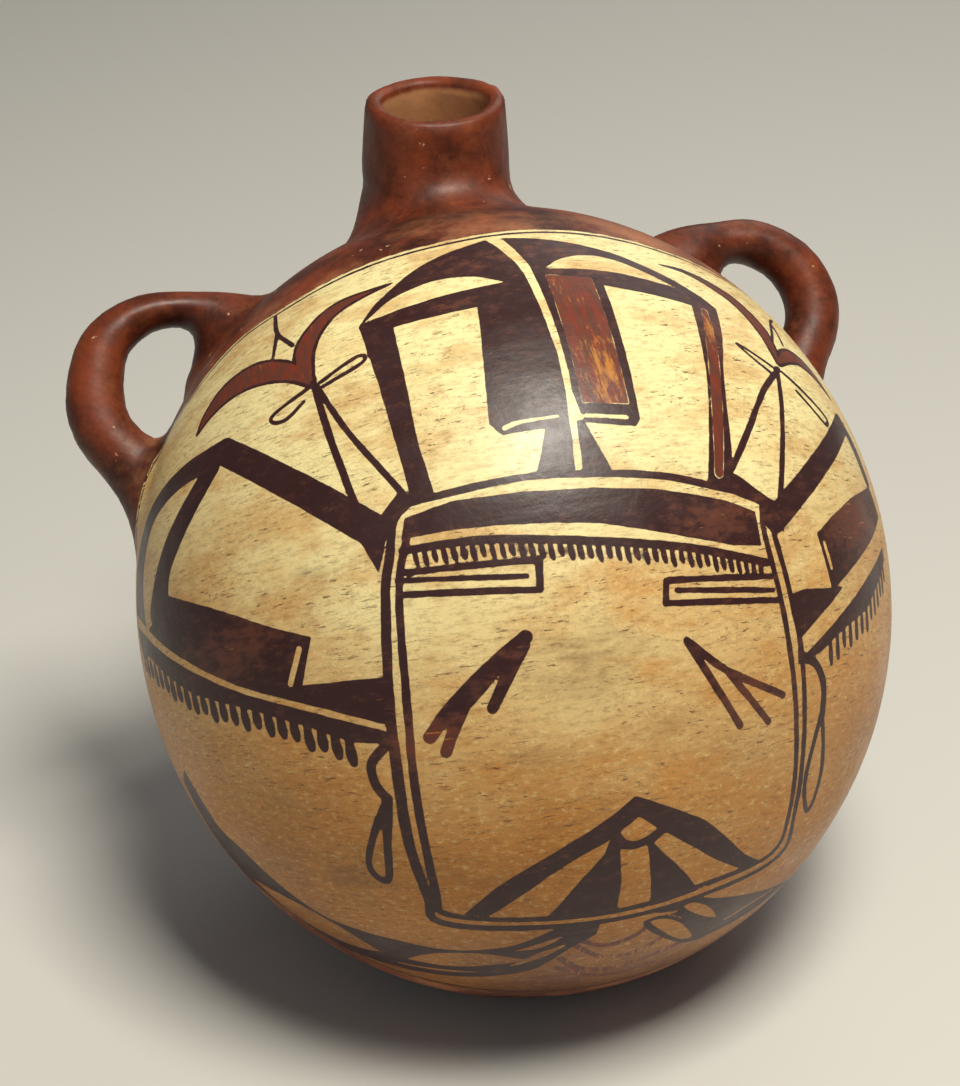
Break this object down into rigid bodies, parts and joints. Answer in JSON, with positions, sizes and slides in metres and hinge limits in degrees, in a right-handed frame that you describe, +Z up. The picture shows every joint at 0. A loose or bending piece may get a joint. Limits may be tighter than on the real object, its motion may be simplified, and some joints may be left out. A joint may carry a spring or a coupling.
{
  "type": "effigy vessel",
  "caption": "Round one-piece pottery canteen with a short upright neck, loop handles on the shoulders, a red slipped back and a mask painted on its swelling front.",
  "frame": {"origin": "centre of the flat spot under the round body that the vessel stands on", "axes": "+Z up along the neck, painted front towards -Y, handles along X"},
  "size_m": [0.273, 0.2391, 0.2597],
  "materials": {
    "clay": "burnished slip with matte mineral paint"
  },
  "bodies": {
    "root": {"vessel": "clay"}
  },
  "joints": []
}
